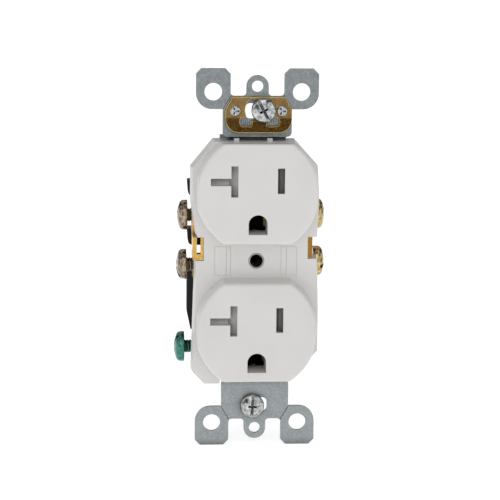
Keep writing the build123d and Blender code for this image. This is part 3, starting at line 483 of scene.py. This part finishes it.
def bridge(bm, first, second):
    """Join two rings of equally many vertices with a band of quads."""
    for i in range(len(first)):
        k = (i + 1) % len(first)
        bm.faces.new((first[i], first[k], second[k], second[i]))


def fan(bm, ring, tip):
    """Join a ring to one vertex with triangles."""
    for i in range(len(ring)):
        bm.faces.new((ring[i], ring[(i + 1) % len(ring)], tip))


def round_ring(bm, radius, height, segments):
    """Vertices on a circle about Z."""
    return [bm.verts.new((radius * math.cos(FULL_TURN * i / segments),
                          radius * math.sin(FULL_TURN * i / segments), height))
            for i in range(segments)]


def lathe(bm, profile, segments):
    """Turn (radius, height) points about Z; a zero radius closes the end."""
    rings = [[bm.verts.new((0, 0, height))] if radius == 0
             else round_ring(bm, radius, height, segments) for radius, height in profile]
    for low, high in zip(rings, rings[1:]):
        if len(low) == len(high):
            bridge(bm, low, high)
        elif len(high) == 1:
            fan(bm, low, high[0])
        else:
            fan(bm, high, low[0])
    return rings


def arc(centre, radius, start, stop, steps):
    """Points on an arc, angles in degrees."""
    points = []
    for i in range(steps + 1):
        a = math.radians(start + (stop - start) * i / steps)
        points.append((centre[0] + radius * math.cos(a), centre[1] + radius * math.sin(a)))
    return points


def thread(bm, crest_r, root_r, bottom, top, segments, inward=False):
    """A rod's wall, or a bore's lining, with a real helical thread that fades out at its ends."""
    steps_a_pitch, flank = 8, 3.2
    start_depth, end_depth = 0.05, 0.35     # shares of the full depth
    steps = max(8, round((top - bottom) / THREAD_PITCH * steps_a_pitch))
    rings = []
    for j in range(steps + 1):
        z = bottom + (top - bottom) * j / steps
        fade = min(1.0, (z - bottom) / THREAD_PITCH + start_depth,
                   (top - z) / THREAD_PITCH + end_depth)
        ring = []
        for i in range(segments):
            turn = i / segments
            from_crest = abs((z / THREAD_PITCH - turn) % 1.0 - 0.5)
            crest = min(1.0, max(0.0, flank / 2 - flank * from_crest))
            r = root_r + (crest_r - root_r) * (1 - crest if inward else crest) * fade
            ring.append(bm.verts.new(
                (r * math.cos(FULL_TURN * turn), r * math.sin(FULL_TURN * turn), z)))
        rings.append(ring)
    for low, high in zip(rings, rings[1:]):
        bridge(bm, low, high)
    return rings


def draw_box(bm, size, height, turn, taper=1.0):
    """A box cutter centred at a height on Z, narrower at its lower end by the taper."""
    spin, lift = Matrix.Rotation(turn, 4, "Z"), Vector((0, 0, height))
    corners = []
    for z, scale in ((-0.5, taper), (0.5, 1.0)):
        for x, y in ((-0.5, -0.5), (0.5, -0.5), (0.5, 0.5), (-0.5, 0.5)):
            point = Vector((x * size[0] * scale, y * size[1] * scale, z * size[2])) + lift
            corners.append(bm.verts.new(spin @ point))
    for face in ((3, 2, 1, 0), (4, 5, 6, 7),
                 (0, 1, 5, 4), (1, 2, 6, 5), (2, 3, 7, 6), (3, 0, 4, 7)):
        bm.faces.new([corners[i] for i in face])


def subtract(obj, cutter_meshes):
    """Cut several shapes out of an object with exact booleans, and apply them."""
    cutters = []
    for index, mesh in enumerate(cutter_meshes):
        cutter = new_object(f"cutter_{index}", mesh)
        cut = obj.modifiers.new(f"cut_{index}", "BOOLEAN")
        cut.object = cutter
        cut.operation = "DIFFERENCE"
        cut.solver = "EXACT"
        cutters.append(cutter)
    mesh = take(obj.name, obj)
    for cutter in cutters:
        bpy.data.objects.remove(cutter)
    return mesh


# ---------------------------------------------------------------- screws
def head_profile(radius, height, rim, crown):
    """Pan head from the axis under the head, round the rim and over the crown."""
    under, steps = 0.12 * MM, 6
    hollow_r, seat_r, shoulder_angle = radius * 0.72, radius * 0.80, 74
    points = [(0, under), (hollow_r, under), (seat_r, 0), (radius - under, 0)]
    points += arc((radius - under, under), under, -90, 0, 3)[1:]
    points += arc((radius - rim, height - crown - rim), rim, 0, shoulder_angle, 7)
    start_r, start_z = points[-1]
    for i in range(1, steps + 1):
        t = i / steps
        points.append((start_r * (1 - t), start_z + (height - start_z) * (1 - (1 - t) ** 2)))
    return points


def head_mesh(name, radius, height, rim, crown, slot_w, cross_r, cross_w, turn):
    """A domed head with a full-width slot and a tapered cross recess."""
    segments, recess_taper = 96, 0.15
    slot_deep, cross_deep = height * 0.42, height * 0.72
    profile = head_profile(radius, height, rim, crown)
    head = new_object(name, mesh_from(name, lathe, profile, segments))
    slot_size = (radius * 2.4, slot_w, slot_deep * 2)
    cross_size = (cross_r * 2, cross_w, cross_deep * 2)
    cutters = [mesh_from("slot", draw_box, slot_size, height, turn)]
    for quarter in (0, math.pi / 2):
        cutters.append(mesh_from(
            "cross", draw_box, cross_size, height, turn + quarter, recess_taper))
    rounded = new_object(name, subtract(head, cutters))
    round_edges(rounded, 0.07, 2, 28)
    return take(name, rounded)


def shank_mesh(name, radius, depth, length, start):
    """A threaded shank below the head, with a lead-in point."""
    point = 0.35 * MM

    def build(bm):
        rings = thread(bm, radius, radius - depth, -length + point, start, 40)
        for ring, height in ((rings[0], -length), (rings[-1], start)):
            fan(bm, ring, bm.verts.new((0, 0, height)))

    return mesh_from(name, build)


def neck_mesh(name, radius, length):
    """The plain neck between a head and a thread that stops short of it."""
    fillet, flare = 0.1 * MM, 0.15 * MM
    profile = [(0, -length - UNDERCUT), (radius, -length - UNDERCUT), (radius, -flare),
               (radius + flare, fillet), (radius + flare, UNDERCUT), (0, UNDERCUT)]
    return mesh_from(name, lathe, profile, 40)


def axis_frame(origin, outward, across):
    """Matrix that takes local Z to the outward direction and local X to the across direction."""
    z = Vector(outward).normalized()
    x = Vector(across).normalized()
    matrix = Matrix((x, z.cross(x), z)).transposed().to_4x4()
    matrix.translation = origin
    return matrix


def screw_piece(node, slot, meshes, placing):
    """One screw from its head, shank and neck, moved to its place."""
    bm = bmesh.new()
    for mesh in meshes:
        bm.from_mesh(mesh)
        bpy.data.meshes.remove(mesh)
    bmesh.ops.transform(bm, matrix=placing, verts=bm.verts)
    made = mesh_of(node, bm)
    shade(made, 38)
    dress(new_object(node + "_piece", made), node, slot)


def terminal_screw(node, slot, side):
    """Side terminal screw: pan head outwards, threaded shank inwards."""
    low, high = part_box(node)
    centre = (low + high) / 2
    head_r, head_h = (high.z - low.z) / 2, TERMINAL_HEAD_H[side]
    outer = high.x if side == RIGHT else -low.x
    placing = axis_frame((side * (outer - head_h), centre.y, centre.z), (side, 0, 0), TO_ROOM)
    turn = math.radians(SLOT_TURN[node]) * -side
    head = head_mesh(node + "_head", head_r, head_h, rim=1.4 * MM, crown=0.5 * MM,
                     slot_w=1.15 * MM, cross_r=2.5 * MM, cross_w=1.25 * MM, turn=turn)
    length = (high.x - low.x) - head_h
    shank = shank_mesh(node + "_shank", TERMINAL_SHANK_R, TERMINAL_THREAD_DEPTH, length, UNDERCUT)
    screw_piece(node, slot, [head, shank], placing)


def box_screw(node):
    """Long mounting screw through the strap: bright domed head with a combination recess."""
    low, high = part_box(node)
    centre = (low + high) / 2
    head_back = low.y + BOX_HEAD_H
    placing = axis_frame((centre.x, head_back, centre.z), TO_ROOM, TO_RIGHT)
    head = head_mesh(node + "_head", (high.x - low.x) / 2, BOX_HEAD_H, rim=0.8 * MM,
                     crown=0.55 * MM, slot_w=0.95 * MM, cross_r=2.3 * MM, cross_w=1.15 * MM,
                     turn=math.radians(SLOT_TURN[node]))
    length = (high.y - low.y) - BOX_HEAD_H
    neck_end = head_back - BOX_NECK_END
    shank = shank_mesh(node + "_shank", BOX_SHANK_R, BOX_THREAD_DEPTH, length, neck_end)
    neck = neck_mesh(node + "_neck", BOX_NECK_R, -neck_end)
    screw_piece(node, "screw_steel", [head, shank, neck], placing)


# ---------------------------------------------------------------- rivets, eyelet and springs
def star_rivet(bm, radius, back_top, back_bottom):
    """A staked rivet: low domed head with pressed star notches, and a plain head behind."""
    segments, rows, points, rounding = 72, 9, 3, 0.12 * MM
    height, notch_deep, dimple_deep = RIVET_HEAD_H, 0.85, 0.35

    def surface(t, angle):
        """Height of the head at a share t of its radius."""
        dome = height * math.sqrt(max(0.0, 1 - (t * 0.96) ** 4))
        notch = max(0.0, math.cos(points * angle)) ** 6 * math.sin(math.pi * min(1, t * 1.1)) ** 2
        dimple = dimple_deep * height * math.exp(-(t * 3.2) ** 2)
        return dome - notch * height * notch_deep - dimple

    tip = bm.verts.new((0, 0, surface(0, 0)))
    rings = []
    for j in range(1, rows + 1):
        ring = round_ring(bm, radius * (j / rows), 0, segments)
        if j < rows:
            for i, vertex in enumerate(ring):
                vertex.co.z = surface(j / rows, FULL_TURN * i / segments)
        rings.append(ring)
    back = [(RIVET_SHANK_R, 0), (RIVET_SHANK_R, back_top), (radius, back_top)]
    back += arc((radius - rounding, back_bottom + rounding), rounding, 0, -90, 3)
    rings += [round_ring(bm, r, z, segments) for r, z in back]
    fan(bm, rings[0], tip)
    for low, high in zip(rings, rings[1:]):
        bridge(bm, low, high)
    bm.faces.new(rings[-1])


def clip_rivets():
    """The two staked rivets that hold the brass clip to the strap."""
    node = "clip_rivets"
    low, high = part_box(node)
    head_r = (high.z - low.z) / 2
    centre_z = (low.z + high.z) / 2
    front = low.y + RIVET_HEAD_H
    bm = bmesh.new()
    for x in (low.x + head_r, high.x - head_r):
        part = mesh_from("rivet", star_rivet, head_r, front - STRAP_BACK, front - high.y)
        part.transform(axis_frame((x, front, centre_z), TO_ROOM, TO_RIGHT))
        bm.from_mesh(part)
        bpy.data.meshes.remove(part)
    mesh = mesh_of(node, bm)
    shade(mesh, 50)
    dress(new_object(node + "_piece", mesh), node, "rivet_steel")


def center_eyelet():
    """Hollow rivet with a rolled front lip and a tapped bore for the wall plate screw."""
    node, segments = "center_eyelet", 48
    outer, bore = EYELET_OUTER, EYELET_BORE
    low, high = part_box(node)
    front, end = low.y, low.y - high.y
    flange_r = (high.x - low.x) / 2
    near = front - EYELET_FLANGE_FRONT
    far = near - EYELET_FLANGE_T
    lip, break_edge, chamfer = 0.36 * MM, 0.1 * MM, 0.2 * MM
    thread_deep, thread_top = 0.22 * MM, -1.6 * MM
    countersink = [(bore + 0.03 * MM, -1.5 * MM), (bore + 0.34 * MM, -0.3 * MM)]

    def build(bm):
        profile = arc((outer - lip, -lip), lip, 90, 0, 6)
        profile += [(outer, near), (flange_r - break_edge, near), (flange_r, near - break_edge),
                    (flange_r, far + break_edge), (flange_r - break_edge, far), (outer, far),
                    (outer, end + chamfer), (outer - chamfer, end), (bore + 0.15 * MM, end)]
        rings = lathe(bm, profile, segments)
        inner = thread(bm, bore + thread_deep, bore, end + chamfer, thread_top, segments, True)
        mouth = lathe(bm, countersink, segments)
        for first, second in ((inner[-1], mouth[0]), (mouth[1], rings[0]), (rings[-1], inner[0])):
            bridge(bm, first, second)

    mesh = mesh_from(node, build)
    mesh.transform(axis_frame((0, front, 0), TO_ROOM, TO_RIGHT))
    shade(mesh, 40)
    dress(new_object(node + "_piece", mesh), node, "eyelet_steel")


def coil_spring(node, mover, axis, moving_end):
    """A CAD coil whose one end follows a shutter, while the other stays with the outlet."""
    obj = new_object(node + "_piece", clean_copy(node, merge=False))
    shade(obj.data)
    obj.data.materials.append(MATERIALS["spring_steel"])
    low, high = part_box(node)
    start, end = (low + high) / 2, (low + high) / 2
    first, last = (low, high) if moving_end == "low" else (high, low)
    setattr(start, axis, getattr(first, axis))
    setattr(end, axis, getattr(last, axis))
    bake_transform(obj, body_of(NODES[mover])[0], body_of(NODES[node])[0], start, end)
    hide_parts(node)


# ---------------------------------------------------------------- pieces
# node, finish, edge radius in mm, steps in the radius, and the bend in degrees that makes an edge
refined("cover", "cover_white", 0.28, 4, 30)
refined("base", "base_black", 0.25, 3, 30)
refined("yoke", "yoke_zinc", 0.09, 2, 30, merge=False)
refined("self_grounding_clip", "clip_brass", 0.1, 3, 25)
refined("assembly_screws", "screw_steel", 0.1, 2, 30)
refined("ground_contact_rivets", "rivet_steel", 0.12, 3, 30)
for strip in ("hot_contact_strip", "neutral_contact_strip"):
    refined(strip, "contact_brass", 0.1, 3, 30)
for end in ENDS:
    refined(f"{end}_screw_retainer", "retainer_fibre", 0.08, 2, 30)
    refined(f"{end}_ground_contact", "ground_contact_steel", 0.1, 3, 30)
    refined(f"{end}_shutter_carrier", "carrier_grey", 0.12, 3, 30)
    refined(f"{end}_shutter", "shutter_grey", 0.08, 2, 25, merge=False)
    refined(f"{end}_arm_shutter", "shutter_grey", 0.08, 2, 25, merge=False)
    terminal_screw(f"{end}_neutral_screw", "neutral_screw_nickel", LEFT)
    terminal_screw(f"{end}_hot_screw", "hot_screw_brass", RIGHT)
    box_screw(f"{end}_mounting_screw")
    coil_spring(f"{end}_shutter_spring", f"{end}_shutter", "x", "low")
    coil_spring(f"{end}_arm_shutter_spring", f"{end}_arm_shutter", "z", "high")
terminal_screw("ground_screw", "ground_screw_green", LEFT)
clip_rivets()
center_eyelet()


# ---------------------------------------------------------------- stage, light and camera
FOCAL_LENGTH_MM, SENSOR_MM = 119.52, 36.0
CAMERA_PLACE = (-0.03414, -0.45567, 0.08131)
VIEW_DIRECTION = (0.069976, 0.983072, -0.169332)
VIEW_RIGHT = (0.997545, -0.069426, 0.009176)


def make_floor():
    """A wide pale floor under the lower end of the strap."""
    half, glow, ground = 30.0, 0.62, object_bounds()[0].z
    bm = bmesh.new()
    bm.faces.new([bm.verts.new((x, y, ground)) for x, y in
                  ((-half, -half), (half, -half), (half, half), (-half, half))])
    bmesh.ops.subdivide_edges(bm, edges=bm.edges, cuts=8, use_grid_fill=True)
    floor = new_object("floor", mesh_of("floor", bm))
    s = Shader("floor_paper", Emission_Strength=glow, Specular_IOR_Level=0.1,
               Emission_Color=(1, 1, 1, 1))
    tone = s.between(s.noise(400, 2), (0.86, 0.86, 0.86), (0.89, 0.89, 0.89))
    floor.data.materials.append(s.finish(tone, s.spread(s.noise(2, 3), 0.85, 0.95)))


def make_world():
    """A soft grey room that shows as white behind the object."""
    soft_light, mirror_light, flag_scale = 0.55, 0.85, 2.4
    world = bpy.data.worlds.new("studio")
    bpy.context.scene.world = world
    world.use_nodes = True
    tree = world.node_tree

    def light(strength, node=None):
        node = node or tree.nodes.new("ShaderNodeBackground")
        node.inputs["Color"].default_value = (1, 1, 1, 1)
        node.inputs["Strength"].default_value = strength
        return node

    def choose(ray, other, wanted):
        """One shader for a kind of ray, the other for the rest."""
        mix = tree.nodes.new("ShaderNodeMixShader")
        tree.links.new(seen.outputs[ray], mix.inputs["Fac"])
        tree.links.new(other, mix.inputs[1])
        tree.links.new(wanted, mix.inputs[2])
        return mix.outputs["Shader"]

    # what polished metal mirrors: bright panels and dark flags
    place = tree.nodes.new("ShaderNodeTexCoord")
    flags = tree.nodes.new("ShaderNodeTexNoise")
    flags.inputs["Scale"].default_value = flag_scale
    flags.inputs["Detail"].default_value = 1.0
    tone = tree.nodes.new("ShaderNodeValToRGB")
    for point, position, colour in zip(
            tone.color_ramp.elements, (0.44, 0.56), ((0.10, 0.10, 0.11, 1), (1, 0.99, 0.97, 1))):
        point.position, point.color = position, colour
    mirrored = light(mirror_light)
    tree.links.new(place.outputs["Generated"], flags.inputs["Vector"])
    tree.links.new(flags.outputs["Fac"], tone.inputs["Fac"])
    tree.links.new(tone.outputs["Color"], mirrored.inputs["Color"])

    seen = tree.nodes.new("ShaderNodeLightPath")
    soft = light(soft_light, node=tree.nodes["Background"])
    white = light(1.0)
    polished = choose("Is Glossy Ray", soft.outputs["Background"], mirrored.outputs["Background"])
    direct = choose("Is Camera Ray", polished, white.outputs["Background"])
    tree.links.new(direct, tree.nodes["World Output"].inputs["Surface"])


def softbox(name, place, power, size):
    """A rectangular lamp that faces the middle of the object; watts and metres."""
    data = bpy.data.lights.new(name, "AREA")
    data.shape = "RECTANGLE"
    data.size, data.size_y = size
    data.energy = power
    lamp = new_object(name, data)
    lamp.location = place
    lamp.rotation_mode = "QUATERNION"
    lamp.rotation_quaternion = (-Vector(place)).to_track_quat("-Z", "Y")


def make_camera():
    """Slightly left of the object and above it, looking down a little, with a long lens."""
    data = bpy.data.cameras.new("camera")
    data.lens, data.sensor_width = FOCAL_LENGTH_MM, SENSOR_MM
    data.clip_start, data.clip_end = 0.01, 100
    camera = new_object("camera", data)
    forward, right = Vector(VIEW_DIRECTION), Vector(VIEW_RIGHT)
    turn = Matrix((right, right.cross(forward), -forward)).transposed()
    camera.rotation_mode = "QUATERNION"
    camera.rotation_quaternion = turn.to_quaternion()
    camera.location = CAMERA_PLACE
    bpy.context.scene.camera = camera


make_floor()
make_world()
softbox("key_left", (-0.85, -0.45, 0.25), 0.6, (0.5, 0.6))
softbox("fill_right", (0.6, -0.7, 0.3), 0.5, (0.45, 0.6))
softbox("overhead", (-0.1, -0.8, 0.6), 0.85, (0.6, 0.6))
softbox("front", (-0.1, -0.95, 0.15), 0.4, (0.4, 0.4))
make_camera()
bpy.context.scene.view_settings.view_transform = "Standard"
